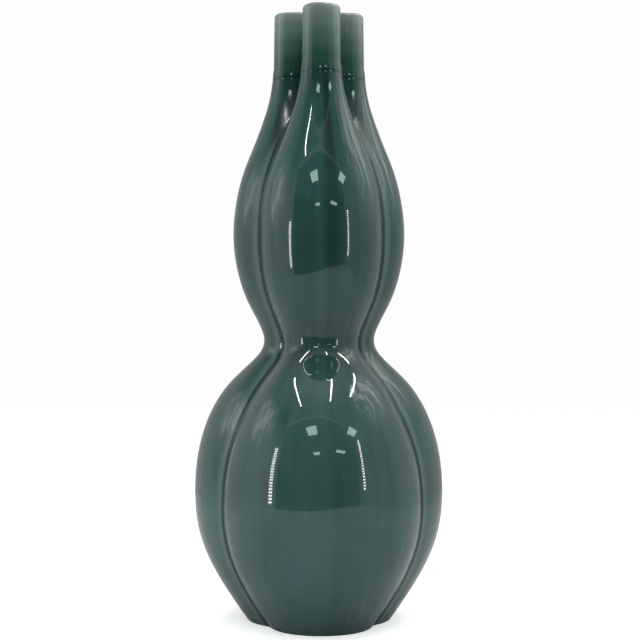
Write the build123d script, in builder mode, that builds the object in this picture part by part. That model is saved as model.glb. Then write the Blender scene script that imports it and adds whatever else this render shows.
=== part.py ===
"""Three-lobed double gourd vase with three spouts, in luted ceramic sections. Millimetres, +Z up.

The origin is on the vase's axis, in the plane that the foot stands on. The front lobe points along -Y.
Every level section of the body is three circles of one radius, set round the axis at one offset.
Both sizes change with height, so three gourds grow into one body and part again into three necks.
"""

import os

from build123d import *

# Heights, from one key ring of the body to the next
BELLY_RISE = 97.0
SHOULDER_RISE = 65.0
WAIST_RISE = 49.0
CROWN_RISE = 77.0
NECK_RISE = 121.0
SPOUT_LENGTH = 51.0

# Radius of one lobe at each key ring
FOOT_LOBE_RADIUS = 38.1
BELLY_LOBE_RADIUS = 74.6
SHOULDER_LOBE_RADIUS = 55.1
WAIST_LOBE_RADIUS = 27.8
CROWN_LOBE_RADIUS = 44.9

# Distance from the vase's axis to a lobe's centre at each key ring
FOOT_LOBE_OFFSET = 18.6
BELLY_LOBE_OFFSET = 22.8
SHOULDER_LOBE_OFFSET = 28.6
WAIST_LOBE_OFFSET = 16.2
CROWN_LOBE_OFFSET = 23.4
SPOUT_OFFSET = 23.0

# Clay thicknesses, and the foot, whose standing face is wiped free of glaze
BODY_WALL = 5.0
FLOOR_THICKNESS = 6.0
FOOT_HEIGHT = 5.0
FOOT_WIDTH = 7.0
FOOT_BEVEL = 1.0

# Spouts, and the luting coil that is smoothed round each spout's joint
SPOUT_FOOT_RADIUS = 14.7
SPOUT_LIP_RADIUS = 14.0
SPOUT_BORE_RADIUS = 10.0
COLLAR_HEIGHT = 8.5
COLLAR_FOOT_WALL = 0.7
COLLAR_TOP_WALL = 0.5
SLIP_GAP = 0.1

# Rounded edges, as shares of the clay wall that carries them
LIP_ROUND_SHARE = 0.48
COLLAR_ROUND_SHARE = 0.6

# Compass angle of each lobe, in degrees
LOBE_ANGLES = {"front": -90, "right": 30, "left": 150}

# Heights that the sizes above lead to
BOWL_Z = FOOT_HEIGHT + FLOOR_THICKNESS
BELLY_Z = BELLY_RISE
SHOULDER_Z = BELLY_Z + SHOULDER_RISE
WAIST_Z = SHOULDER_Z + WAIST_RISE
CROWN_Z = WAIST_Z + CROWN_RISE
NECK_Z = CROWN_Z + NECK_RISE

# A neck ends as wide as the luting coil that stands on it
NECK_RADIUS = SPOUT_FOOT_RADIUS + SLIP_GAP + COLLAR_FOOT_WALL

# Key rings of the body: height, lobe radius and lobe offset
FOOT_RING = (0, FOOT_LOBE_RADIUS, FOOT_LOBE_OFFSET)
BELLY_RING = (BELLY_Z, BELLY_LOBE_RADIUS, BELLY_LOBE_OFFSET)
SHOULDER_RING = (SHOULDER_Z, SHOULDER_LOBE_RADIUS, SHOULDER_LOBE_OFFSET)
WAIST_RING = (WAIST_Z, WAIST_LOBE_RADIUS, WAIST_LOBE_OFFSET)
CROWN_RING = (CROWN_Z, CROWN_LOBE_RADIUS, CROWN_LOBE_OFFSET)
NECK_RING = (NECK_Z, NECK_RADIUS, SPOUT_OFFSET)

# Rings between two key rings, each part of the way from the lower ring to the upper one:
# shares of the change in height, in lobe radius and in lobe offset
FOOT_TO_BELLY_SHARES = [(0.30, 0.515, 0.26), (0.62, 0.89, 0.68)]
BELLY_TO_SHOULDER_SHARES = [(0.53, 0.33, 0.62)]
SHOULDER_TO_WAIST_SHARES = [(0.37, 0.39, 0.20), (0.65, 0.775, 0.53), (0.85, 0.975, 0.84)]
WAIST_TO_CROWN_SHARES = [(0.15, 0.175, 0.02), (0.38, 0.585, 0.35), (0.67, 0.905, 0.70)]
CROWN_TO_NECK_SHARES = [
    (0.22, 0.06, 0.22),
    (0.43, 0.265, 0.43),
    (0.61, 0.555, 0.61),
    (0.76, 0.78, 0.76),
    (0.89, 0.93, 0.89),
]


def rings_between(lower, upper, shares):
    """The rings that lie between two key rings."""
    return [tuple(a + part * (b - a) for a, b, part in zip(lower, upper, ring)) for ring in shares]


BODY_RINGS = [
    FOOT_RING,
    *rings_between(FOOT_RING, BELLY_RING, FOOT_TO_BELLY_SHARES),
    BELLY_RING,
    *rings_between(BELLY_RING, SHOULDER_RING, BELLY_TO_SHOULDER_SHARES),
    SHOULDER_RING,
    *rings_between(SHOULDER_RING, WAIST_RING, SHOULDER_TO_WAIST_SHARES),
    WAIST_RING,
    *rings_between(WAIST_RING, CROWN_RING, WAIST_TO_CROWN_SHARES),
    CROWN_RING,
    *rings_between(CROWN_RING, NECK_RING, CROWN_TO_NECK_SHARES),
    NECK_RING,
]


def three_gourds(wall):
    """Three gourd lobes grown together round the axis, with their surface set in by the wall."""
    with BuildPart() as one_gourd:
        for height, radius, offset in BODY_RINGS:
            with BuildSketch(Plane.XY.offset(height)):
                with Locations((offset, 0)):
                    Circle(radius - wall)
        loft()
    with BuildPart() as grown_together:
        for angle in LOBE_ANGLES.values():
            add(one_gourd.part, rotation=(0, 0, angle))
    return grown_together.part


def luted_section(clay, low, high):
    """The clay between two luting seams, which are level cuts."""
    with BuildPart() as section:
        add(clay)
        split(bisect_by=Plane.XY.offset(low), keep=Keep.TOP)
        split(bisect_by=Plane.XY.offset(high), keep=Keep.BOTTOM)
    return section.part


def spout_seat(angle):
    """The plane that a spout stands on: the top of its lobe's neck, on the lobe's centre line."""
    lobe_direction = Vector(1, 0, 0).rotate(Axis.Z, angle)
    return Plane(origin=lobe_direction * SPOUT_OFFSET + Vector(0, 0, NECK_Z), x_dir=lobe_direction)


def hand_over(piece, name):
    """Names a finished piece and writes its STEP file."""
    piece.label = name
    export_step(piece, f"parts/{name}.step")


os.makedirs("parts", exist_ok=True)

# The gourd body, first as solid clay and then as a wall round its cavity
solid_body = three_gourds(0)
with BuildPart() as body_wall:
    add(solid_body)
    add(three_gourds(BODY_WALL), mode=Mode.SUBTRACT)

# Foot: a bevelled ring under the base, open in the middle
with BuildPart() as foot_ring:
    add(luted_section(solid_body, 0, FOOT_HEIGHT))
    standing_edges = foot_ring.edges().group_by(Axis.Z)[0]
    chamfer(standing_edges, FOOT_BEVEL)
    with BuildSketch():
        for angle in LOBE_ANGLES.values():
            with PolarLocations(FOOT_LOBE_OFFSET, 1, start_angle=angle):
                Circle(FOOT_LOBE_RADIUS - FOOT_WIDTH)
    extrude(amount=FOOT_HEIGHT, mode=Mode.SUBTRACT)
hand_over(foot_ring.part, "foot_ring")

# Base: a slab cut to the foot's outline, which closes the vase
hand_over(luted_section(solid_body, FOOT_HEIGHT, BOWL_Z), "base_slab")

# Body sections, luted at the belly, the waist and the crown
hand_over(luted_section(body_wall.part, BOWL_Z, BELLY_Z), "lower_bulb_bowl")
hand_over(luted_section(body_wall.part, BELLY_Z, WAIST_Z), "lower_bulb_shoulder")
hand_over(luted_section(body_wall.part, WAIST_Z, CROWN_Z), "upper_bulb_bowl")
hand_over(luted_section(body_wall.part, CROWN_Z, NECK_Z), "upper_bulb_necks")

# Spouts: tapered tubes with a straight bore and a rounded lip, each on its neck's flat top
for name, angle in LOBE_ANGLES.items():
    seat = spout_seat(angle)
    with BuildPart(seat) as spout:
        Cone(SPOUT_FOOT_RADIUS, SPOUT_LIP_RADIUS, SPOUT_LENGTH, align=(Align.CENTER, Align.CENTER, Align.MIN))
        Hole(SPOUT_BORE_RADIUS)
        lip_edges = spout.edges().group_by(Axis.Z)[-1]
        fillet(lip_edges, LIP_ROUND_SHARE * (SPOUT_LIP_RADIUS - SPOUT_BORE_RADIUS))
    hand_over(spout.part, f"{name}_spout")

# Luting coils: a thin collar round the foot of each spout, smoothed to a feathered top
taper = (SPOUT_LIP_RADIUS - SPOUT_FOOT_RADIUS) / SPOUT_LENGTH
collar_foot_bore = SPOUT_FOOT_RADIUS + SLIP_GAP
collar_top_bore = collar_foot_bore + taper * COLLAR_HEIGHT
collar_top_radius = collar_top_bore + COLLAR_TOP_WALL
for name, angle in LOBE_ANGLES.items():
    seat = spout_seat(angle)
    with BuildPart(seat) as collar:
        Cone(NECK_RADIUS, collar_top_radius, COLLAR_HEIGHT, align=(Align.CENTER, Align.CENTER, Align.MIN))
        Cone(
            collar_foot_bore,
            collar_top_bore,
            COLLAR_HEIGHT,
            align=(Align.CENTER, Align.CENTER, Align.MIN),
            mode=Mode.SUBTRACT,
        )
        top_edge = collar.edges().group_by(Axis.Z)[-1].sort_by(SortBy.RADIUS)[-1]
        fillet(top_edge, COLLAR_ROUND_SHARE * COLLAR_TOP_WALL)
    hand_over(collar.part, f"{name}_collar")
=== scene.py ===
"""Double gourd vase: three gourds grown into one body, with three spouts, under a deep green glaze.

Shapes are worked out in millimetres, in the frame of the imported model: +Z up, the front lobe along -Y.
"""

import math

import bpy
import numpy as np
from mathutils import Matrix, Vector


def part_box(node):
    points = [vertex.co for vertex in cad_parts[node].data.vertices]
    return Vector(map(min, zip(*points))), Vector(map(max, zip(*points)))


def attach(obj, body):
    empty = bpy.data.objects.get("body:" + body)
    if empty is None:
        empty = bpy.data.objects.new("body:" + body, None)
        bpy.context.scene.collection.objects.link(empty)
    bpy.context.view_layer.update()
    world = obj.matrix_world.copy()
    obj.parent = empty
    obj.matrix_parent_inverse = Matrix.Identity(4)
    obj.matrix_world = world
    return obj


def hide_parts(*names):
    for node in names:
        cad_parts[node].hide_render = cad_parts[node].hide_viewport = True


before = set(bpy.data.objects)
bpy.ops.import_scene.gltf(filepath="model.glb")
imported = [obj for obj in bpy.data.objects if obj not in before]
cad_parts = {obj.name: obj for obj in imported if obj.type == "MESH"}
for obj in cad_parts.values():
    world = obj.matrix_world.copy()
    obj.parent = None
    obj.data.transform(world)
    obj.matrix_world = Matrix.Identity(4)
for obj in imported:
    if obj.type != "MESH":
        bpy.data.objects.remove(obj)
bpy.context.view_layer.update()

# Foot ring: a low ring of stoneware under the base, turned with the body and open in the middle.
# Its side carries the body's glaze, which is wiped off the standing face before firing, and its
# edge is softly rounded there. The body's own form starts here: three round lobes about one axis.
MM = 0.001
LOBES = {"front": -90, "right": 30, "left": 150}
LOBE_ANGLES = np.radians(list(LOBES.values()))
PROFILE = [
    ((0.0, 38.1, 18.6), [(0.30, 0.515, 0.26), (0.62, 0.89, 0.68)]),
    ((97.0, 74.6, 22.8), [(0.53, 0.33, 0.62)]),
    ((162.0, 55.1, 28.6), [(0.37, 0.39, 0.20), (0.65, 0.775, 0.53), (0.85, 0.975, 0.84)]),
    ((211.0, 27.8, 16.2), [(0.15, 0.175, 0.02), (0.38, 0.585, 0.35), (0.67, 0.905, 0.70)]),
    ((288.0, 44.9, 23.4), [
        (0.22, 0.06, 0.22), (0.43, 0.265, 0.43), (0.61, 0.555, 0.61), (0.76, 0.78, 0.76),
        (0.89, 0.93, 0.89)]),
    ((409.0, 15.5, 23.0), []),
]
CREST = 0.8
CREST_TOP = 200.0
GROOVE_ROUND = 1.2
GROOVE_DEPTH = 0.5
GROOVE_WIDTH = 2.0
WEB_ROUND = 2.2
WEB_HEIGHTS = (325.0, 372.0, 391.0, 408.0)
WAVE_COUNT = 6
WAVE_LENGTHS = (28, 75)
WAVE_HEIGHT = 0.16
NECK_CALM = 405
NECK_CALM_RUN = 60
FOOT_CALM_RUN = 20
SLOPE_STEP = 0.02
LOBE_COLUMNS = 120
GROOVE_CROWDING = 0.75
STREAK_CYLINDER = 60.0
LOBE_SPACING = 400.0


def body_rings():
    """Height, lobe radius and lobe offset of every ring: key rings, and shares of the way to the next."""
    keys = np.array([key for key, shares in PROFILE])
    rings = [keys[-1:]]
    for key, following, (_, shares) in zip(keys, keys[1:], PROFILE):
        rings.append(key + np.array([(0, 0, 0), *shares]) * (following - key))
    rings = np.concatenate(rings)
    return rings[np.argsort(rings[:, 0])]


RINGS = body_rings()


def smooth_curve(knots, values, at):
    """Natural cubic spline: piecewise cubics through the knots whose slope and bend run on unbroken."""
    step = np.diff(knots)
    slope = np.diff(values) / step
    system = np.eye(len(knots))
    inner = np.arange(1, len(knots) - 1)
    system[inner, inner - 1] = step[:-1]
    system[inner, inner] = 2 * (step[:-1] + step[1:])
    system[inner, inner + 1] = step[1:]
    right = np.zeros(len(knots))
    right[inner] = 6 * np.diff(slope)
    bend = np.linalg.solve(system, right)
    span = np.clip(np.searchsorted(knots, at) - 1, 0, len(step) - 1)
    run = at - knots[span]
    first = slope[span] - step[span] * (2 * bend[span] + bend[span + 1]) / 6
    cubic = (bend[span + 1] - bend[span]) / (6 * step[span])
    return values[span] + run * (first + run * (bend[span] / 2 + run * cubic))


def lobe_radius(height):
    """Radius of one lobe's round section at a height."""
    return smooth_curve(RINGS[:, 0], RINGS[:, 1], np.minimum(height, RINGS[-1, 0]))


def lobe_offset(height):
    """Distance from the vase's axis to a lobe's centre at a height."""
    return smooth_curve(RINGS[:, 0], RINGS[:, 2], np.minimum(height, RINGS[-1, 0]))


def lobe_gaps(points, inset):
    """How far a point lies outside each lobe: its distance from the lobe's centre less the lobe's radius.

    The lower bulb's lobes are a little fuller at their crests than a circle, by three waves to the round.
    """
    height = points[..., 2, None]
    offset = lobe_offset(height)
    across = points[..., 0, None] - offset * np.cos(LOBE_ANGLES)
    along = points[..., 1, None] - offset * np.sin(LOBE_ANGLES)
    fullness = CREST * np.sin(np.pi * np.clip(height / CREST_TOP, 0, 1)) ** 2
    crest = fullness * np.cos(3 * (np.arctan2(along, across) - LOBE_ANGLES))
    return np.hypot(across, along) - (lobe_radius(height) + crest - np.asarray(inset)[..., None])


def hand_waves(points):
    """Unevenness of hand-finished clay: the mean of slow sine waves in seeded directions.

    The waves fade out up the necks and down towards the foot.
    """
    chance = np.random.default_rng(11)
    turns = chance.normal(size=(WAVE_COUNT, 3))
    lengths = chance.uniform(*WAVE_LENGTHS, size=WAVE_COUNT)
    waves = turns / np.linalg.norm(turns, axis=1)[:, None] * (2 * np.pi / lengths)[:, None]
    phases = chance.uniform(0, 2 * np.pi, size=WAVE_COUNT)
    swell = np.sin(points @ waves.T + phases).mean(-1)
    height = points[..., 2]
    below_necks = np.clip((NECK_CALM - height) / NECK_CALM_RUN, 0, 1)
    return WAVE_HEIGHT * swell * below_necks * np.clip(height / FOOT_CALM_RUN, 0, 1)


def place_on_lobe(points):
    """The lobe that a point belongs to, and its angle on that lobe from the outward direction."""
    nearest = lobe_gaps(points, 0).argmin(-1)
    angle = LOBE_ANGLES[nearest]
    offset = lobe_offset(points[..., 2])
    across = points[..., 0] - offset * np.cos(angle)
    along = points[..., 1] - offset * np.sin(angle)
    turn = np.arctan2(along, across) - angle
    return nearest, (turn + np.pi) % (2 * np.pi) - np.pi


def groove_turn(height, inset):
    """Angle on a lobe, from its outward direction, at which it meets the next lobe (law of sines)."""
    reach = math.sqrt(3) / 2 * lobe_offset(height) / (lobe_radius(height) - inset)
    return math.pi / 3 + np.arcsin(np.minimum(reach, 1))


def groove_round(height, inset):
    """Rounding of the line where two lobes meet: small on the bulbs, more in the web between the necks.

    The web is on the outside only, and comes and goes by a smooth step over its heights.
    """
    web = np.interp(height, WEB_HEIGHTS, (0, 1, 1, 0))
    return GROOVE_ROUND + WEB_ROUND * web ** 2 * (3 - 2 * web) * (np.asarray(inset) == 0)


def groove_distance(points):
    """Distance from the upright plane in which two lobes meet, growing fast where the necks have parted."""
    height = points[..., 2]
    turn = np.arctan2(points[..., 1], points[..., 0])[..., None] - LOBE_ANGLES
    fold = np.abs((turn + np.pi) % (2 * np.pi) - np.pi).min(-1)
    apart = math.sqrt(3) / 2 * lobe_offset(height) - lobe_radius(height)
    apart = apart - math.log(2) * groove_round(height, 0)
    from_axis = np.hypot(points[..., 0], points[..., 1])
    return from_axis * np.sin(np.pi / 3 - fold) + 4 * np.maximum(apart, 0)


def clay_field(points, inset):
    """Zero on the clay: the smallest gap to a lobe, by a soft minimum that rounds where two lobes meet.

    The outside has a narrow groove cut in along that line, with the round section of a loop tool.
    """
    gaps = lobe_gaps(points, inset)
    least = gaps.min(-1)
    rounding = groove_round(points[..., 2], inset)
    nearness = np.exp((least[..., None] - gaps) / rounding[..., None]).sum(-1)
    groove = GROOVE_DEPTH * np.exp(-(groove_distance(points) / GROOVE_WIDTH) ** 2)
    return least - rounding * np.log(nearness) - hand_waves(points) + groove * (np.asarray(inset) == 0)


def clay_slope(points, inset):
    """Gradient of the clay field, by central differences over a fiftieth of a millimetre."""
    steps = SLOPE_STEP * np.eye(3)
    return np.stack([
        clay_field(points + step, inset) - clay_field(points - step, inset) for step in steps
    ], -1) / (2 * SLOPE_STEP)


def settle(points, inset, level):
    """Newton steps that bring points onto the clay along its slope; level rows keep their height."""
    keep = np.where(level, 0.0, 1.0)
    for _ in range(5):
        slope = clay_slope(points, inset)
        slope[..., 2] *= keep
        steepness = np.maximum((slope ** 2).sum(-1), 0.02)
        points = points - (clay_field(points, inset) / steepness)[..., None] * slope
    return points


def lobe_point(lobe, turn, height, inset):
    """A point on one lobe's round section: its centre, plus its radius at an angle from outwards."""
    angle = LOBE_ANGLES[lobe]
    offset = lobe_offset(height)
    radius = lobe_radius(height) - inset
    x = offset * np.cos(angle) + radius * np.cos(angle + turn)
    y = offset * np.sin(angle) + radius * np.sin(angle + turn)
    return np.stack(np.broadcast_arrays(x, y, height), -1)


def crowded_columns():
    """Shares of the way from groove to groove over one lobe, from -1 to 1, crowded towards the grooves."""
    share = np.linspace(-1, 1, LOBE_COLUMNS, endpoint=False)
    return share + GROOVE_CROWDING * np.sin(np.pi * share) / np.pi


def lobed_rows(heights, insets, level):
    """Rows of points round the three lobes, one row for each height and inset."""
    heights = np.asarray(heights, float)[:, None]
    insets = np.broadcast_to(insets, heights.shape[:1])[:, None]
    turns = crowded_columns() * groove_turn(heights, insets)
    rows = np.concatenate([lobe_point(lobe, turns, heights, insets) for lobe in range(3)], 1)
    return settle(rows, np.broadcast_to(insets, rows.shape[:2]), np.asarray(level)[:, None])


def sheet_faces(rows, columns, runs_round=True):
    """Quads of a grid of points, closed on itself where its rows run round."""
    below = np.arange(rows - 1)[:, None] * columns
    above = below + columns
    column = np.arange(columns if runs_round else columns - 1)[None]
    beside = (column + 1) % columns
    return np.stack([below + column, below + beside, above + beside, above + column], -1).reshape(-1, 4)


def glaze_coordinates(points):
    """Where the glaze ran: height, and the angle about the nearest lobe laid on a cylinder of its own."""
    nearest, turn = place_on_lobe(points)
    x = STREAK_CYLINDER * np.cos(turn) + LOBE_SPACING * nearest
    return np.stack([x, STREAK_CYLINDER * np.sin(turn), points[..., 2]], -1)


def make_piece(name, node, patches, materials):
    """One piece of the vase from patches of points, faces, normals and finish, welded where they meet."""
    every = np.concatenate([points for points, *rest in patches])
    welded, index = np.unique(np.round(every, 5), axis=0, return_inverse=True)
    index = index.reshape(-1)
    faces = []
    corners = []
    finishes = []
    start = 0
    for points, patch_faces, normals, finish in patches:
        faces += index[patch_faces + start].tolist()
        corners.append(normals[patch_faces].reshape(-1, 3))
        finishes += [finish] * len(patch_faces)
        start += len(points)
    mesh = bpy.data.meshes.new(name)
    mesh.from_pydata((welded * MM).tolist(), [], faces)
    mesh.polygons.foreach_set("material_index", finishes)
    flow = mesh.attributes.new("flow", "FLOAT_VECTOR", "POINT")
    flow.data.foreach_set("vector", glaze_coordinates(welded).ravel())
    groove = mesh.attributes.new("groove", "FLOAT", "POINT")
    groove.data.foreach_set("value", groove_distance(welded))
    mesh.normals_split_custom_set(np.concatenate(corners).tolist())
    for material in materials:
        mesh.materials.append(material)
    piece = bpy.data.objects.new(name, mesh)
    bpy.context.scene.collection.objects.link(piece)
    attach(piece, "root")
    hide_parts(node)
    return piece


def unit(vectors):
    """Vectors brought to length one."""
    return vectors / np.maximum(np.linalg.norm(vectors, axis=-1, keepdims=True), 1e-9)


def grid_normals(rows):
    """Normals of a grid whose rows run round: across the rows times along them."""
    along = np.roll(rows, -1, 1) - np.roll(rows, 1, 1)
    across = np.gradient(rows, axis=0)
    return unit(np.cross(along, across))


def linear(hex_colour):
    """An sRGB hex colour as linear red, green, blue and alpha."""
    parts = np.array([int(hex_colour[at:at + 2], 16) for at in (1, 3, 5)]) / 255
    return (*np.where(parts <= 0.04045, parts / 12.92, ((parts + 0.055) / 1.055) ** 2.4), 1.0)


def add_node(tree, kind, inputs=None, **settings):
    """Adds a shader node: settings are its properties, inputs the values of its sockets.

    A socket is linked, a node is linked by the first output in use, and a hex colour is made linear.
    """
    node = tree.nodes.new("ShaderNode" + kind)
    for name, value in settings.items():
        setattr(node, name, value)
    for socket, value in (inputs or {}).items():
        if isinstance(value, bpy.types.Node):
            value = next(output for output in value.outputs if output.enabled)
        if isinstance(value, bpy.types.NodeSocket):
            tree.links.new(value, node.inputs[socket])
        else:
            node.inputs[socket].default_value = linear(value) if isinstance(value, str) else value
    return node


def new_material(name):
    """An empty node material, its tree and its output node."""
    material = bpy.data.materials.new(name)
    material.use_nodes = True
    tree = material.node_tree
    tree.nodes.clear()
    return material, tree, tree.nodes.new("ShaderNodeOutputMaterial")


# Settings that many nodes share. A Map Range takes its value at 0, from the range 1 to 2 to the range
# 3 to 4, and a Mix takes its share at 0, with numbers at 2 and 3 and colours at 6 and 7.
TIMES = {"operation": "MULTIPLY"}
TIMES_PLUS = {"operation": "MULTIPLY_ADD"}
LESS = {"operation": "SUBTRACT"}
SIZE_OF = {"operation": "ABSOLUTE"}
SMOOTH = {"interpolation_type": "SMOOTHSTEP"}
COLOURS = {"data_type": "RGBA"}
STREAK_WIDTH = 7.0
DRIP_WIDTH = 5.0
CLOUD_WIDTH = 60.0
LUMP_WIDTH = 14.0
RIPPLE_WIDTH = 9.0
LUTING_LINES = ((412.6, 1.6, 0.85), (423.5, 1.2, 0.4))
GLAZE_BY_HEIGHT = [
    (0.0, "#395451"), (60.0, "#3A5A58"), (85.0, "#3B5D5B"), (110.0, "#335351"), (170.0, "#325350"),
    (200.0, "#274441"), (240.0, "#2B514F"), (285.0, "#254846"), (330.0, "#244C49"), (385.0, "#234B46"),
    (408.0, "#123B35"), (422.0, "#244D42"), (434.0, "#456058"), (449.0, "#657A74"), (459.0, "#85928D"),
]


def celadon_glaze():
    """Deep green feldspar glaze over stoneware, dipped and fired glossy.

    It ran down in the kiln: thin and greyish on the lips and spouts, deepest on the necks, milky and
    clouded with blue-grey low on the body, with soft streaks down each lobe. A dark stripe near each
    lobe's crest, deeper on the upper bulb and necks, is a painted reflection of the dark room. The
    grooves are darkened along their bottoms as painted shade, and the web between the necks is darkened
    as painted shade where the glaze is also a little duller. It pooled dark round the foot of the spouts,
    and the grooves' rounded shoulders are pale where it broke thin, with a painted highlight there too.
    Elsewhere it is mirror-clear.
    """
    material, tree, output = new_material("celadon_glaze")
    flow = add_node(tree, "Attribute", attribute_name="flow").outputs["Vector"]
    groove = add_node(tree, "Attribute", attribute_name="groove").outputs["Fac"]
    _, along, height = add_node(tree, "SeparateXYZ", {0: flow}).outputs
    run_down = add_node(tree, "Mapping", {"Vector": flow, "Scale": (1, 1, 0.05)})
    streaks = add_node(tree, "TexNoise", {
        "Vector": run_down, "Scale": 1 / STREAK_WIDTH, "Detail": 3.0, "Roughness": 0.6})
    clouds = add_node(tree, "TexNoise", {
        "Vector": flow, "Scale": 1 / CLOUD_WIDTH, "Detail": 3.0, "Roughness": 0.55})
    colour = GLAZE_BY_HEIGHT[0][1]
    for (low, _), (high, shade) in zip(GLAZE_BY_HEIGHT, GLAZE_BY_HEIGHT[1:]):
        climb = add_node(tree, "MapRange", {0: height, 1: low, 2: high}, **SMOOTH)
        colour = add_node(tree, "Mix", {0: climb, 6: colour, 7: shade}, **COLOURS)
    tone = add_node(tree, "Math", {0: clouds, 1: 0.9}, **TIMES)
    tone = add_node(tree, "Math", {0: streaks, 1: 0.9, 2: tone}, **TIMES_PLUS)
    tone = add_node(tree, "MapRange", {0: tone, 1: 0.65, 2: 1.15}, **SMOOTH)
    deep = add_node(tree, "Mix", {0: 0.2, 6: colour, 7: "#0E2622"}, **COLOURS)
    milky = add_node(tree, "Mix", {0: 0.08, 6: colour, 7: "#5C7975"}, **COLOURS)
    colour = add_node(tree, "Mix", {0: tone, 6: deep, 7: milky}, **COLOURS)
    patches = add_node(tree, "MapRange", {0: clouds, 1: 0.46, 2: 0.62}, **SMOOTH)
    low_down = add_node(tree, "MapRange", {0: height, 1: 125.0, 2: 95.0, 4: 0.28}, **SMOOTH)
    bloom = add_node(tree, "Math", {0: patches, 1: low_down}, **TIMES)
    colour = add_node(tree, "Mix", {0: bloom, 6: colour, 7: "#3F5B63"}, **COLOURS)
    # Painted reflection: a dark stripe near each lobe's crest stands in for the dark room mirrored there,
    # deeper on the upper bulb and necks.
    from_crest = add_node(tree, "Math", {0: along, 1: 8.0}, **LESS)
    from_crest = add_node(tree, "Math", {0: from_crest}, **SIZE_OF)
    crest_reflection = add_node(tree, "MapRange", {0: from_crest, 1: 11.0, 2: 2.5}, **SMOOTH)
    below_spout = add_node(tree, "MapRange", {0: height, 1: 418.0, 2: 402.0}, **SMOOTH)
    crest_reflection = add_node(tree, "Math", {0: crest_reflection, 1: below_spout}, **TIMES)
    on_bulb = add_node(tree, "MapRange", {0: height, 1: 250.0, 2: 275.0, 3: 0.14, 4: 0.44}, **SMOOTH)
    on_neck = add_node(tree, "MapRange", {0: height, 1: 325.0, 2: 360.0, 4: 0.36}, **SMOOTH)
    crest_reflection_depth = add_node(tree, "Math", {0: on_bulb, 1: on_neck}, operation="ADD")
    crest_reflection = add_node(tree, "Math", {0: crest_reflection, 1: crest_reflection_depth}, **TIMES)
    colour = add_node(tree, "Mix", {0: crest_reflection, 6: colour, 7: "#072420"}, **COLOURS)
    drips = add_node(tree, "TexNoise", {"Vector": run_down, "Scale": 1 / DRIP_WIDTH, "Detail": 1.0})
    drips = add_node(tree, "MapRange", {0: drips, 1: 0.64, 2: 0.74}, **SMOOTH)
    at_foot = add_node(tree, "MapRange", {0: height, 1: 42.0, 2: 18.0, 4: 0.14}, **SMOOTH)
    drips = add_node(tree, "Math", {0: drips, 1: at_foot}, **TIMES)
    colour = add_node(tree, "Mix", {0: drips, 6: colour, 7: "#70857F"}, **COLOURS)
    # Pale shoulders along the grooves: partly the glaze breaking thin, partly a painted highlight.
    shoulder = add_node(tree, "MapRange", {0: groove, 1: 10.0, 2: 4.0, 4: 0.7}, **SMOOTH)
    colour = add_node(tree, "Mix", {0: shoulder, 6: colour, 7: "#58736F"}, **COLOURS)
    # Painted shade in the web between the necks; the same mask also makes the glaze duller there.
    by_groove = add_node(tree, "MapRange", {0: groove, 1: 13.0, 2: 6.0}, **SMOOTH)
    up_necks = add_node(tree, "MapRange", {0: height, 1: 340.0, 2: 370.0}, **SMOOTH)
    fork_shade_and_dullness = add_node(tree, "Math", {0: by_groove, 1: up_necks}, **TIMES)
    darkened = add_node(tree, "Math", {0: fork_shade_and_dullness, 1: 0.9}, **TIMES)
    colour = add_node(tree, "Mix", {0: darkened, 6: colour, 7: "#0B2926"}, **COLOURS)
    # Painted shade: dark along the bottom of each groove.
    groove_shade = add_node(tree, "MapRange", {0: groove, 1: 3.8, 2: 1.2}, **SMOOTH)
    colour = add_node(tree, "Mix", {0: groove_shade, 6: colour, 7: "#0B2926"}, **COLOURS)
    lumps = add_node(tree, "TexNoise", {
        "Vector": flow, "Scale": 1 / LUMP_WIDTH, "Detail": 3.0, "Roughness": 0.6})
    wander = add_node(tree, "Math", {0: lumps, 1: 5.0, 2: height}, **TIMES_PLUS)
    for middle, width, depth in LUTING_LINES:
        seam = add_node(tree, "Math", {0: wander, 1: middle}, **LESS)
        seam = add_node(tree, "Math", {0: seam}, **SIZE_OF)
        seam = add_node(tree, "MapRange", {0: seam, 1: width, 2: 0.2}, **SMOOTH)
        patchy = add_node(tree, "MapRange", {0: clouds, 1: 0.35, 2: 0.6, 4: depth}, **SMOOTH)
        seam = add_node(tree, "Math", {0: seam, 1: patchy}, **TIMES)
        colour = add_node(tree, "Mix", {0: seam, 6: colour, 7: "#0A1F1D"}, **COLOURS)
    ripple = add_node(tree, "TexNoise", {"Vector": flow, "Scale": 1 / RIPPLE_WIDTH})
    bump = add_node(tree, "Bump", {"Height": ripple, "Strength": 0.25, "Distance": 0.06 * MM})
    roughness = add_node(tree, "Math", {0: fork_shade_and_dullness, 1: 0.16, 2: 0.035}, **TIMES_PLUS)
    shader = add_node(tree, "BsdfPrincipled", {
        "Base Color": colour, "Roughness": roughness, "IOR": 1.5, "Normal": bump})
    tree.links.new(shader.outputs[0], output.inputs["Surface"])
    return material


def bare_stoneware():
    """Fired stoneware without glaze, where it was wiped off: buff, matt and finely gritty."""
    material, tree, output = new_material("bare_stoneware")
    place = add_node(tree, "TexCoord").outputs["Object"]
    grit = add_node(tree, "TexNoise", {"Vector": place, "Scale": 1 / (0.8 * MM), "Detail": 4.0})
    colour = add_node(tree, "Mix", {0: grit, 6: "#A99A84", 7: "#C4B7A2"}, **COLOURS)
    bump = add_node(tree, "Bump", {"Height": grit, "Strength": 0.4, "Distance": 0.15 * MM})
    shader = add_node(tree, "BsdfPrincipled", {"Base Color": colour, "Roughness": 0.85, "Normal": bump})
    tree.links.new(shader.outputs[0], output.inputs["Surface"])
    return material


def flat_normals(count, up):
    """Normals of a level face, up or down."""
    return np.tile((0.0, 0.0, 1.0 if up else -1.0), (count, 1))


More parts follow.
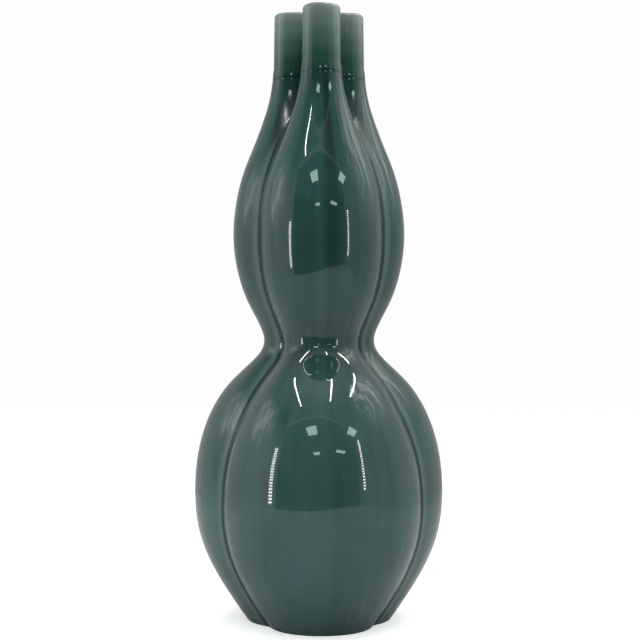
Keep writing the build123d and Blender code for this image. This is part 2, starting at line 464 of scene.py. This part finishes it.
def rim_patch(outer, inner, up, finish=0):
    """The flat rim between an outer and an inner row of points."""
    points = np.concatenate([outer, inner])
    faces = sheet_faces(2, len(outer))
    return points, faces if up else faces[:, ::-1], flat_normals(len(points), up), finish


def cap_patch(row, up, finish=0):
    """A flat face that closes a row of points."""
    loop = np.arange(len(row))[None]
    return row, loop if up else loop[:, ::-1], flat_normals(len(row), up), finish


glaze = celadon_glaze()
clay = bare_stoneware()
FOOT_WIDTH = 7.0
FOOT_ROUND = 0.6
low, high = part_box("foot_ring")
foot_low, foot_high = low.z / MM, high.z / MM
bend = np.linspace(0, math.pi / 2, 9)
side_heights = np.concatenate([foot_low + FOOT_ROUND * (1 - np.cos(bend)), [foot_high]])
side_insets = np.concatenate([FOOT_ROUND * (1 - np.sin(bend)), [0.0]])
side = lobed_rows(side_heights, side_insets, np.ones(len(side_heights), bool))
recess = lobed_rows([foot_low, foot_high], FOOT_WIDTH, [True, True])
recess[1, :, :2] = recess[0, :, :2]
side_faces = sheet_faces(*side.shape[:2])
recess_faces = sheet_faces(*recess.shape[:2])[:, ::-1]
make_piece("glazed_foot", "foot_ring", [
    (side.reshape(-1, 3), side_faces, grid_normals(side).reshape(-1, 3), 0),
    rim_patch(side[0], recess[0], False, 1),
    (recess.reshape(-1, 3), recess_faces, -grid_normals(recess).reshape(-1, 3), 1),
    rim_patch(side[-1], recess[-1], True, 1),
], [glaze, clay])


# Base: a slab of clay in the foot's outline that closes the vase, luted between the foot and the bowl.
# Its edge is glazed with the body, and its underside, inside the foot, is bare.
def wall_patch(heights, inset):
    """The clay's outside, or its inside where it is set in by the wall, and its rows of points."""
    level = np.zeros(len(heights), bool)
    level[[0, -1]] = True
    rows = lobed_rows(heights, inset, level)
    normals = unit(clay_slope(rows, np.broadcast_to(float(inset), rows.shape[:2])))
    faces = sheet_faces(*rows.shape[:2])
    if inset:
        faces = faces[:, ::-1]
        normals = -normals
    return rows, (rows.reshape(-1, 3), faces, normals.reshape(-1, 3), 0)


low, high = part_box("base_slab")
rows, side = wall_patch(np.linspace(low.z / MM, high.z / MM, 5), 0)
underside = cap_patch(rows[0], False, 1)
make_piece("glazed_base", "base_slab", [side, underside, cap_patch(rows[-1], True)], [glaze, clay])

# Bulb sections: slip-cast walls luted to each other at the belly, the waist and the crown.
# One coat of glaze covers the joints, so the outside runs on smoothly from section to section.
WALL = 5.0
ROW_STEP = 2.0
for name, node in {
    "glazed_lower_bowl": "lower_bulb_bowl",
    "glazed_lower_shoulder": "lower_bulb_shoulder",
    "glazed_upper_bowl": "upper_bulb_bowl",
}.items():
    low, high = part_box(node)
    count = round((high.z - low.z) / (ROW_STEP * MM))
    outer_rows, outside = wall_patch(np.linspace(low.z / MM, high.z / MM, count + 1), 0)
    inner_rows, inside = wall_patch(np.linspace(low.z / MM, high.z / MM, count // 2 + 1), WALL)
    rims = [rim_patch(outer_rows[-1], inner_rows[-1], True), rim_patch(outer_rows[0], inner_rows[0], False)]
    make_piece(name, node, [outside, inside, *rims], [glaze])

# Necks: the top section, where the three gourds part again into round necks that end level.
# Between them the clay dips into a small pit, and a rounded saddle joins each neck to the next.
FORK_COLUMNS = 40
TUBE_ROW_STEP = 1.0


def height_where(share, lobes, inset):
    """Height at which a lobe's radius, with the groove's rounding, has shrunk to a share of its offset."""
    heights = np.linspace(300, RINGS[-1, 0], 3000)
    rounding = groove_round(heights, inset) * math.log(lobes)
    reach = lobe_radius(heights) - inset + rounding - share * lobe_offset(heights)
    return np.interp(0, -reach, heights)


def fork_turn(height, inset):
    """Angle on a lobe, from its outward direction, at which it meets the next lobe on the axis side."""
    reach = math.sqrt(3) / 2 * lobe_offset(height) / (lobe_radius(height) - inset)
    return 4 * math.pi / 3 - np.arcsin(np.minimum(reach, 1))


def forked_wall(low, high, inset, trunk_step):
    """Trunk, pit and necks of the forked section at one depth in the wall, as grids of points.

    The trunk runs round all three lobes up to the saddle. The pit is three strips, one on the axis
    side of each lobe, from near the pit's floor up to the saddle. Above the saddle each neck is a
    tube whose columns carry on those of its lobe and of its strip.
    """
    saddle = height_where(math.sqrt(3) / 2, 2, inset)
    floor = height_where(0.97, 3, inset)
    count = round((saddle - low) / trunk_step)
    trunk_share = np.linspace(0, 1, count + 1)
    trunk_heights = low + (saddle - low) * (1 - (1 - trunk_share) ** 1.4)
    level = np.zeros(count + 1, bool)
    level[0] = True
    trunk = lobed_rows(trunk_heights, inset, level)
    pit_share = np.linspace(0, 1, 16)
    pit_heights = (floor + (saddle - floor) * pit_share)[:, None]
    strip = np.linspace(0, 1, FORK_COLUMNS + 1)
    turn = fork_turn(pit_heights, inset)
    turns = turn + strip * (2 * math.pi - 2 * turn)
    pits = np.stack([lobe_point(lobe, turns, pit_heights, inset) for lobe in range(3)])
    pits = settle(pits, np.full(pits.shape[:3], float(inset)), False)
    first_columns = trunk[-1, ::LOBE_COLUMNS]
    pits[:, -1, -1] = first_columns
    pits[:, -1, 0] = np.roll(first_columns, -1, 0)
    pits[:, :, -1] = np.roll(pits[:, :, 0], 1, 0)
    count = round((high - saddle) / TUBE_ROW_STEP)
    tube_heights = (saddle + (high - saddle) * np.linspace(0, 1, count + 1) ** 1.3)[1:, None]
    front = crowded_columns() * groove_turn(tube_heights, inset)
    turn = fork_turn(tube_heights, inset)
    back = turn + strip[:-1] * (2 * math.pi - 2 * turn)
    columns = np.concatenate([front, back], 1)
    tubes = np.stack([lobe_point(lobe, columns, tube_heights, inset) for lobe in range(3)])
    level = np.zeros(tubes.shape[:3], bool)
    level[:, -1] = True
    tubes = settle(tubes, np.full(tubes.shape[:3], float(inset)), level)
    seam = np.concatenate([trunk[-1].reshape(3, LOBE_COLUMNS, 3), pits[:, -1, :-1]], 1)
    return trunk, pits, np.concatenate([seam[:, None], tubes], 1)


def clay_patch(rows, inset, runs_round, flip):
    """A grid on the clay as a patch: normals down the field's slope, turned inwards on the inside."""
    faces = sheet_faces(*rows.shape[:2], runs_round)
    normals = unit(clay_slope(rows, np.full(rows.shape[:2], float(inset)))).reshape(-1, 3)
    return rows.reshape(-1, 3), faces[:, ::-1] if flip else faces, -normals if inset else normals, 0


low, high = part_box("upper_bulb_necks")
patches = []
walls = []
for inset in (0.0, WALL):
    trunk, pits, tubes = forked_wall(low.z / MM, high.z / MM, inset, ROW_STEP * (2 if inset else 1))
    inwards = inset > 0
    patches.append(clay_patch(trunk, inset, True, inwards))
    patches += [clay_patch(pit, inset, False, inwards) for pit in pits]
    patches += [clay_patch(tube, inset, True, inwards) for tube in tubes]
    floor_row = np.concatenate([pits[lobe, 0, :-1] for lobe in (2, 1, 0)])
    floor_loop = np.arange(len(floor_row))[None]
    floor_normals = flat_normals(len(floor_row), not inwards)
    patches.append((floor_row, floor_loop if inwards else floor_loop[:, ::-1], floor_normals, 0))
    walls.append((trunk, tubes))
(outer_trunk, outer_tubes), (inner_trunk, inner_tubes) = walls
patches.append(rim_patch(outer_trunk[0], inner_trunk[0], False))
patches += [rim_patch(outer[-1], inner[-1], True) for outer, inner in zip(outer_tubes, inner_tubes)]
make_piece("glazed_necks", "upper_bulb_necks", patches, [glaze])

# Spouts: a thrown tube luted upright on each neck, slightly tapered, with a straight bore for stems.
# The lip is rounded by hand and by the glaze, so its top is a little uneven and out of round.
SPOUT_COLUMNS = 96
SPOUT_TAPER = 0.7
SPOUT_BORE = 10.0
LIP_WIDTH = 1.9
LIP_DROP = 2.6
LIP_INSIDE = 1.4
LIP_WAVES = 0.45
OUT_OF_ROUND = 0.18


def uneven_ring(angles, seed, most):
    """A slow seeded wave round a ring: two to five swells that add up to at most the given height."""
    chance = np.random.default_rng(seed)
    swells = np.arange(2, 6)
    sizes = chance.uniform(0.4, 1.0, len(swells))
    phases = chance.uniform(0, 2 * np.pi, len(swells))
    return most * (np.cos(np.multiply.outer(angles, swells) + phases) * sizes).sum(-1) / sizes.sum()


def turned_rows(centre, radii, heights, angles):
    """A profile of radii and heights turned about an upright axis, one row of points for each of them."""
    x = centre[0] + radii * np.cos(angles)
    y = centre[1] + radii * np.sin(angles)
    return np.stack(np.broadcast_arrays(x, y, heights), -1)


angles = np.linspace(0, 2 * np.pi, SPOUT_COLUMNS, endpoint=False)
quarter = np.linspace(0, math.pi / 2, 9)
for seed, name in enumerate(LOBES):
    low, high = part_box(f"{name}_spout")
    low, high = np.array(low) / MM, np.array(high) / MM
    centre = (low + high) / 2
    foot_radius = (high[0] - low[0]) / 2
    lip_radius = foot_radius - SPOUT_TAPER
    side = np.linspace(0, 1, 24, endpoint=False)
    profile_radii = np.concatenate([
        foot_radius - SPOUT_TAPER * side,
        lip_radius - LIP_WIDTH * (1 - np.cos(quarter)),
        SPOUT_BORE + LIP_INSIDE * (1 - np.sin(quarter[1:])),
        np.full(12, SPOUT_BORE),
    ])
    profile_heights = np.concatenate([
        low[2] + (high[2] - LIP_DROP - low[2]) * side,
        high[2] - LIP_DROP * (1 - np.sin(quarter)),
        high[2] - LIP_INSIDE * (1 - np.cos(quarter[1:])),
        np.linspace(high[2] - LIP_INSIDE, low[2], 13)[1:],
    ])
    rise = np.clip((profile_heights - low[2]) / (high[2] - low[2]), 0, 1)[:, None]
    radii = profile_radii[:, None] + uneven_ring(angles, 30 + seed, OUT_OF_ROUND) * rise
    lip_waves = uneven_ring(angles, 40 + seed, LIP_WAVES) - LIP_WAVES
    rows = turned_rows(centre, radii, profile_heights[:, None] + lip_waves * rise ** 6, angles)
    faces = sheet_faces(*rows.shape[:2])
    seat = rim_patch(rows[0], rows[-1], False)
    make_piece(f"glazed_{name}_spout", f"{name}_spout", [
        (rows.reshape(-1, 3), faces, grid_normals(rows).reshape(-1, 3), 0), seat], [glaze])

# Collars: a coil of clay luted round the foot of each spout and smoothed up to a feathered edge.
# It was pressed on by hand, so it is lumpy, and its upper edge wanders.
COLLAR_COLUMNS = 144
COLLAR_BORE_TAPER = 0.0137
COLLAR_THICKNESS = 0.65
COLLAR_FEATHER = 0.12
COLLAR_WANDER = 0.5
COLLAR_LUMPS = 0.1
for seed, name in enumerate(LOBES):
    low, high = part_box(f"{name}_collar")
    low, high = np.array(low) / MM, np.array(high) / MM
    centre = (low + high) / 2
    outer_radius = (high[0] - low[0]) / 2
    bore = outer_radius - COLLAR_THICKNESS
    angles = np.linspace(0, 2 * np.pi, COLLAR_COLUMNS, endpoint=False)
    rise = np.linspace(0, 1, 20)[:, None]
    height = high[2] - low[2] + uneven_ring(angles, 50 + seed, COLLAR_WANDER) - COLLAR_WANDER
    body = np.clip(rise / 0.08, 0, 1) ** 0.5 * (1 - rise ** 1.5)
    lumps = uneven_ring(angles, 60 + seed, COLLAR_LUMPS) * np.sin(math.pi * rise)
    coil = (outer_radius - bore - COLLAR_FEATHER) * (0.8 + 0.2 * body) * (1 - 0.9 * rise ** 2)
    outside = bore + COLLAR_FEATHER + coil + lumps
    outside = outside - COLLAR_BORE_TAPER * rise * height
    outer = turned_rows(centre, outside, low[2] + rise * height, angles)
    inside = bore - COLLAR_BORE_TAPER * (1 - rise) * height
    inner = turned_rows(centre, inside, low[2] + (1 - rise) * height, angles)
    outer_faces = sheet_faces(*outer.shape[:2])
    inner_faces = sheet_faces(*inner.shape[:2])
    make_piece(f"glazed_{name}_collar", f"{name}_collar", [
        (outer.reshape(-1, 3), outer_faces, grid_normals(outer).reshape(-1, 3), 0),
        (inner.reshape(-1, 3), inner_faces, grid_normals(inner).reshape(-1, 3), 0),
        rim_patch(outer[-1], inner[0], True),
        rim_patch(outer[0], inner[-1], False),
    ], [glaze])


# Studio: a white cloth tent on a white sheet, with a dark room beyond its open front. Strips of diodes
# stand at the opening, bars hang under the roof, panels light the room, and crumpled cloth hangs beside
# the vase. All of it is there for the glaze to mirror; the camera sees only white and the shadow.
def stage_mesh(name, points, faces, material):
    """A stage object from points in millimetres."""
    mesh = bpy.data.meshes.new(name)
    mesh.from_pydata((np.asarray(points, float) * MM).tolist(), [], faces)
    mesh.materials.append(material)
    thing = bpy.data.objects.new(name, mesh)
    bpy.context.scene.collection.objects.link(thing)
    return thing


def light_card(name, corner, first_edge, second_edge, material):
    """A glowing flat card, hidden from the camera, that the glaze mirrors."""
    corner, first_edge, second_edge = map(np.array, (corner, first_edge, second_edge))
    far_corner = corner + first_edge + second_edge
    corners = [corner, corner + first_edge, far_corner, corner + second_edge]
    card = stage_mesh(name, corners, [(0, 1, 2, 3)], material)
    card.visible_camera = False
    card.visible_shadow = False
    return card


def glow(name, strength, pitch=0.0, colour="#FFFFFF"):
    """Light of a lamp: even, or in dots up its height at the pitch of its diodes."""
    material, tree, output = new_material(name)
    emission = add_node(tree, "Emission", {"Strength": strength, "Color": colour})
    if pitch:
        place = add_node(tree, "TexCoord").outputs["Object"]
        upward = add_node(tree, "SeparateXYZ", {0: place}).outputs[2]
        step = add_node(tree, "Math", {0: upward, 1: pitch * MM}, operation="PINGPONG")
        dots = add_node(tree, "MapRange", {
            0: step, 1: 0.5 * pitch * MM, 2: 0.8 * pitch * MM, 3: 0.08 * strength, 4: strength})
        tree.links.new(dots.outputs[0], emission.inputs["Strength"])
    tree.links.new(emission.outputs[0], output.inputs["Surface"])
    return material


VIEW_TURN = math.radians(-3.0)
SIDE = np.array((math.cos(VIEW_TURN), math.sin(VIEW_TURN), 0.0))
TOWARDS_CAMERA = np.array((math.sin(VIEW_TURN), -math.cos(VIEW_TURN), 0.0))
UP = np.array((0.0, 0.0, 1.0))
strip_glow = glow("diode_strip", 30.0, 9.5)
STRIP_REACH = 750.0
for name, turn, width, foot, top in (
    ("left", -58.0, 56.0, 15.0, 405.0),
    ("right", 49.0, 34.0, 94.0, 490.0),
):
    across = math.cos(math.radians(turn)) * SIDE - math.sin(math.radians(turn)) * TOWARDS_CAMERA
    out = math.sin(math.radians(turn)) * SIDE + math.cos(math.radians(turn)) * TOWARDS_CAMERA
    corner = STRIP_REACH * out - width / 2 * across + foot * UP
    light_card(f"{name}_strip", corner, width * across, (top - foot) * UP, strip_glow)

bar_glow = glow("ceiling_bar", 42.0)
BAR_HEIGHT = 800.0
BAR_WIDTH = 18.0
for name, front, back in (
    ("left", (-368.0, -355.0), (-332.0, 110.0)),
    ("middle", (102.0, -345.0), (110.0, -33.0)),
    ("right", (390.0, -170.0), (424.0, 220.0)),
):
    run = (back[0] - front[0], back[1] - front[1], 0)
    light_card(f"{name}_ceiling_bar", (*front, BAR_HEIGHT), (BAR_WIDTH, 0, 0), run, bar_glow)

panel_glow = glow("room_panel", 8.6, colour="#DCF6F2")
PANEL_HEIGHT = 1600.0
for name, x, y, width, depth in (
    ("near_left", -910.0, -2100.0, 540.0, 500.0), ("near_right", 1240.0, -1850.0, 540.0, 450.0),
    ("far_left", -960.0, -3900.0, 560.0, 330.0), ("far_right", 970.0, -3650.0, 820.0, 330.0),
):
    light_card(f"{name}_room_panel", (x, y, PANEL_HEIGHT), (width, 0, 0), (0, depth, 0), panel_glow)


def soft_oval(tree, across, upward, middle, half, core=0.2):
    """One in the core of an oval and zero from its edge on, by the squared shares of its half sizes."""
    across = add_node(tree, "Math", {0: across, 1: middle[0]}, **LESS)
    across = add_node(tree, "Math", {0: across, 1: half[0]}, operation="DIVIDE")
    upward = add_node(tree, "Math", {0: upward, 1: middle[1]}, **LESS)
    upward = add_node(tree, "Math", {0: upward, 1: half[1]}, operation="DIVIDE")
    square = add_node(tree, "Math", {0: upward, 1: upward}, **TIMES)
    square = add_node(tree, "Math", {0: across, 1: across, 2: square}, **TIMES_PLUS)
    return add_node(tree, "MapRange", {0: square, 1: 1.0, 2: core}, **SMOOTH)


def cloth_folds(tree, place, size):
    """Light caught on the folds of crumpled cloth that hangs down, with folds of a size."""
    hanging = add_node(tree, "Mapping", {"Vector": place, "Scale": (1.0, 1.0, 0.4)})
    folds = add_node(tree, "TexNoise", {
        "Vector": hanging, "Scale": 1 / size, "Detail": 4.0, "Roughness": 0.6, "Distortion": 1.2})
    return add_node(tree, "MapRange", {0: folds, 1: 0.36, 2: 0.66}, **SMOOTH)


def crumpled_card(name, middle, half, strength, fold):
    """A card of crumpled cloth that catches the light in an oval, flat along the axis with no half size."""
    middle, half = np.array(middle), np.array(half)
    first, second = np.flatnonzero(half).tolist()
    material, tree, output = new_material(name)
    place = add_node(tree, "TexCoord").outputs["Object"]
    parts = add_node(tree, "SeparateXYZ", {0: place}).outputs
    pair = [first, second]
    lit = soft_oval(tree, parts[first], parts[second], middle[pair] * MM, half[pair] * MM, 0.0)
    shadow = add_node(tree, "Math", {0: lit, 1: 1.0}, **LESS)
    ragged = add_node(tree, "Math", {0: cloth_folds(tree, place, fold * MM), 1: 1.1, 2: shadow}, **TIMES_PLUS)
    even = add_node(tree, "Math", {0: lit, 1: 0.25}, **TIMES)
    caught = add_node(tree, "Math", {0: ragged, 1: even}, operation="MAXIMUM")
    clear = add_node(tree, "BsdfTransparent")
    shine = add_node(tree, "Emission", {"Strength": strength})
    both = add_node(tree, "MixShader", {0: caught, 1: clear, 2: shine})
    tree.links.new(both.outputs[0], output.inputs["Surface"])
    edges = np.diag(2 * half)
    light_card(name, middle - half, edges[first], edges[second], material)


crumpled_card("right_cloth", (620.0, 120.0, 800.0), (0.0, 540.0, 480.0), 3.0, 110.0)
crumpled_card("left_cloth", (-780.0, 150.0, 590.0), (0.0, 400.0, 270.0), 2.5, 110.0)
crumpled_card("roof_cloth", (418.0, -50.0, 810.0), (60.0, 140.0, 0.0), 12.0, 30.0)

FLOOR_FRONT = np.array([
    (-550.0, -160.0), (-460.0, -350.0), (-290.0, -445.0), (-160.0, -505.0), (75.0, -590.0), (250.0, -600.0),
    (460.0, -550.0), (545.0, -400.0), (630.0, -240.0),
])
FLOOR_BACK = [(700.0, 0.0), (700.0, 760.0), (-640.0, 760.0), (-640.0, 0.0)]
FLOOR_CURL = 20.0
FLOOR_CURL_START = 0.85
APRON_REACH = 6000.0
APRON_DROP = 0.3
material, tree, output = new_material("floor_sheet")
place = add_node(tree, "TexCoord").outputs["Object"]
reach = add_node(tree, "VectorMath", {0: place}, operation="LENGTH")
camera_ray = add_node(tree, "LightPath").outputs["Is Camera Ray"]
# The sheet's colour, seen only in the glaze's reflections, holds painted shade: darker near the vase as a
# painted shadow.
outwards = add_node(tree, "MapRange", {0: reach, 1: 100 * MM, 2: 620 * MM}, **SMOOTH)
shade = add_node(tree, "Mix", {0: outwards, 6: "#E2E2E2", 7: "#F2F2F2"}, **COLOURS)
# Painted shade: the sheet is darker towards the right, as the glaze mirrors it.
rightwards = add_node(tree, "SeparateXYZ", {0: place}).outputs[0]
rightwards = add_node(tree, "MapRange", {0: rightwards, 1: 0.0, 2: 400 * MM, 4: 0.4}, **SMOOTH)
shade = add_node(tree, "Mix", {0: rightwards, 6: shade, 7: "#C4C4C4"}, **COLOURS)
shade = add_node(tree, "Mix", {0: camera_ray, 6: shade, 7: "#F6F6F6"}, **COLOURS)
sheet = add_node(tree, "BsdfDiffuse", {"Color": shade})
lift = add_node(tree, "Math", {0: camera_ray, 1: 0.535}, **TIMES)
shine = add_node(tree, "Emission", {"Strength": lift})
both = add_node(tree, "AddShader", {0: sheet, 1: shine})
tree.links.new(both.outputs[0], output.inputs["Surface"])
flat = [(x, y, 0.0) for x, y in [*(FLOOR_FRONT * FLOOR_CURL_START), *FLOOR_BACK]]
curled_edge = [(x, y, FLOOR_CURL) for x, y in FLOOR_FRONT]
first = len(flat)
curl_faces = [(at, first + at, first + at + 1, at + 1) for at in range(len(curled_edge) - 1)]
stage_mesh("floor", flat + curled_edge, [tuple(range(first)), *curl_faces], material)
apron_signs = np.array([(-1, -1), (1, -1), (1, 1), (-1, 1)])
apron_corners = [(x, y, -APRON_DROP) for x, y in APRON_REACH * apron_signs]
apron = stage_mesh("floor_apron", apron_corners, [(0, 1, 2, 3)], material)
apron.visible_glossy = False
apron.visible_diffuse = False

OPENING_TURN = -8.0
OPENING_SPREAD = 51.5
OPENING_EAVES = 36.0
OPENING_ARCH = 13.6
EDGE_BLUR = 1.2
DEGREE = math.degrees(1)
world = bpy.data.worlds.new("tent")
bpy.context.scene.world = world
world.use_nodes = True
tree = world.node_tree
tree.nodes.clear()
direction = add_node(tree, "TexCoord").outputs["Generated"]
x, y, z = add_node(tree, "SeparateXYZ", {0: direction}).outputs
frontwards = add_node(tree, "Math", {0: y, 1: -1.0}, **TIMES)
turn = add_node(tree, "Math", {0: x, 1: frontwards}, operation="ARCTAN2")
turn = add_node(tree, "Math", {0: turn, 1: DEGREE}, **TIMES)
rise = add_node(tree, "Math", {0: z}, operation="ARCSINE")
rise = add_node(tree, "Math", {0: rise, 1: DEGREE}, **TIMES)
side = add_node(tree, "Math", {0: turn, 1: 1 / DEGREE, 2: math.radians(20)}, **TIMES_PLUS)
side = add_node(tree, "Math", {0: side}, operation="SINE")
wall = add_node(tree, "Math", {0: side, 1: -0.06, 2: 0.6}, **TIMES_PLUS)
behind = add_node(tree, "Math", {0: y, 1: 0.0}, operation="MAXIMUM")
behind = add_node(tree, "Math", {0: behind, 1: behind}, **TIMES)
wall = add_node(tree, "Math", {0: behind, 1: -0.2, 2: wall}, **TIMES_PLUS)
left_wall = soft_oval(tree, turn, rise, (-76.0, 0.0), (34.0, 40.0))
wall = add_node(tree, "Math", {0: left_wall, 1: 0.22, 2: wall}, **TIMES_PLUS)
roof = add_node(tree, "MapRange", {0: rise, 1: 50.0, 2: 78.0, 3: 0.34, 4: 0.92})
under_roof = add_node(tree, "MapRange", {0: rise, 1: 28.0, 2: 44.0}, **SMOOTH)
wall = add_node(tree, "Mix", {0: under_roof, 2: wall, 3: roof})
left_fold = soft_oval(tree, turn, rise, (-72.0, 34.0), (16.0, 16.0))
wall = add_node(tree, "Math", {0: left_fold, 1: -0.25, 2: wall}, **TIMES_PLUS)
share = add_node(tree, "Math", {0: turn, 1: OPENING_TURN}, **LESS)
share = add_node(tree, "Math", {0: share}, **SIZE_OF)
share = add_node(tree, "Math", {0: share, 1: OPENING_SPREAD}, operation="DIVIDE")
arch = add_node(tree, "Math", {0: share, 1: share}, **TIMES)
arch = add_node(tree, "Math", {0: 1.0, 1: arch}, **LESS)
crown = add_node(tree, "Math", {0: arch, 1: OPENING_ARCH, 2: OPENING_EAVES}, **TIMES_PLUS)
above_crown = add_node(tree, "Math", {0: rise, 1: crown}, **LESS)
below = add_node(tree, "MapRange", {0: above_crown, 1: EDGE_BLUR, 2: -EDGE_BLUR}, **SMOOTH)
hem = add_node(tree, "MapRange", {0: above_crown, 1: 2.4, 2: 1.4}, **SMOOTH)
hem_end = add_node(tree, "MapRange", {0: share, 1: 1.05, 2: 0.95}, **SMOOTH)
hem = add_node(tree, "Math", {0: hem, 1: hem_end}, **TIMES)
wall = add_node(tree, "Math", {0: hem, 1: 0.45, 2: wall}, **TIMES_PLUS)
side_blur = EDGE_BLUR / OPENING_SPREAD
within = add_node(tree, "MapRange", {0: share, 1: 1 + side_blur, 2: 1 - side_blur}, **SMOOTH)
opening = add_node(tree, "Math", {0: below, 1: within}, **TIMES)
room = add_node(tree, "MapRange", {0: rise, 1: 21.0, 2: 23.0, 3: 0.13, 4: 0.17}, **SMOOTH)
tent = add_node(tree, "Mix", {0: opening, 2: wall, 3: room})
camera_ray = add_node(tree, "LightPath").outputs["Is Camera Ray"]
seen = add_node(tree, "Mix", {0: camera_ray, 2: tent, 3: 0.983})
background = add_node(tree, "Background", {"Color": "#FFFFFF", "Strength": seen})
add_node(tree, "OutputWorld", {"Surface": background})

# Camera: level with the middle of the vase, in front of it and a little to its left, with a lens of
# about 80 mm, as the photograph was taken.
VIEW_DISTANCE = 1104.0
VIEW_HEIGHT = 227.0
camera_data = bpy.data.cameras.new("camera")
camera_data.lens = 82.15
camera_data.sensor_width = 36.0
camera = bpy.data.objects.new("camera", camera_data)
camera.location = Vector(VIEW_DISTANCE * TOWARDS_CAMERA + VIEW_HEIGHT * UP) * MM
aim = Vector((0.2, 0.0, VIEW_HEIGHT)) * MM
camera.rotation_euler = (aim - camera.location).to_track_quat("-Z", "Y").to_euler()
bpy.context.scene.collection.objects.link(camera)
bpy.context.scene.camera = camera
bpy.context.scene.view_settings.view_transform = "Standard"
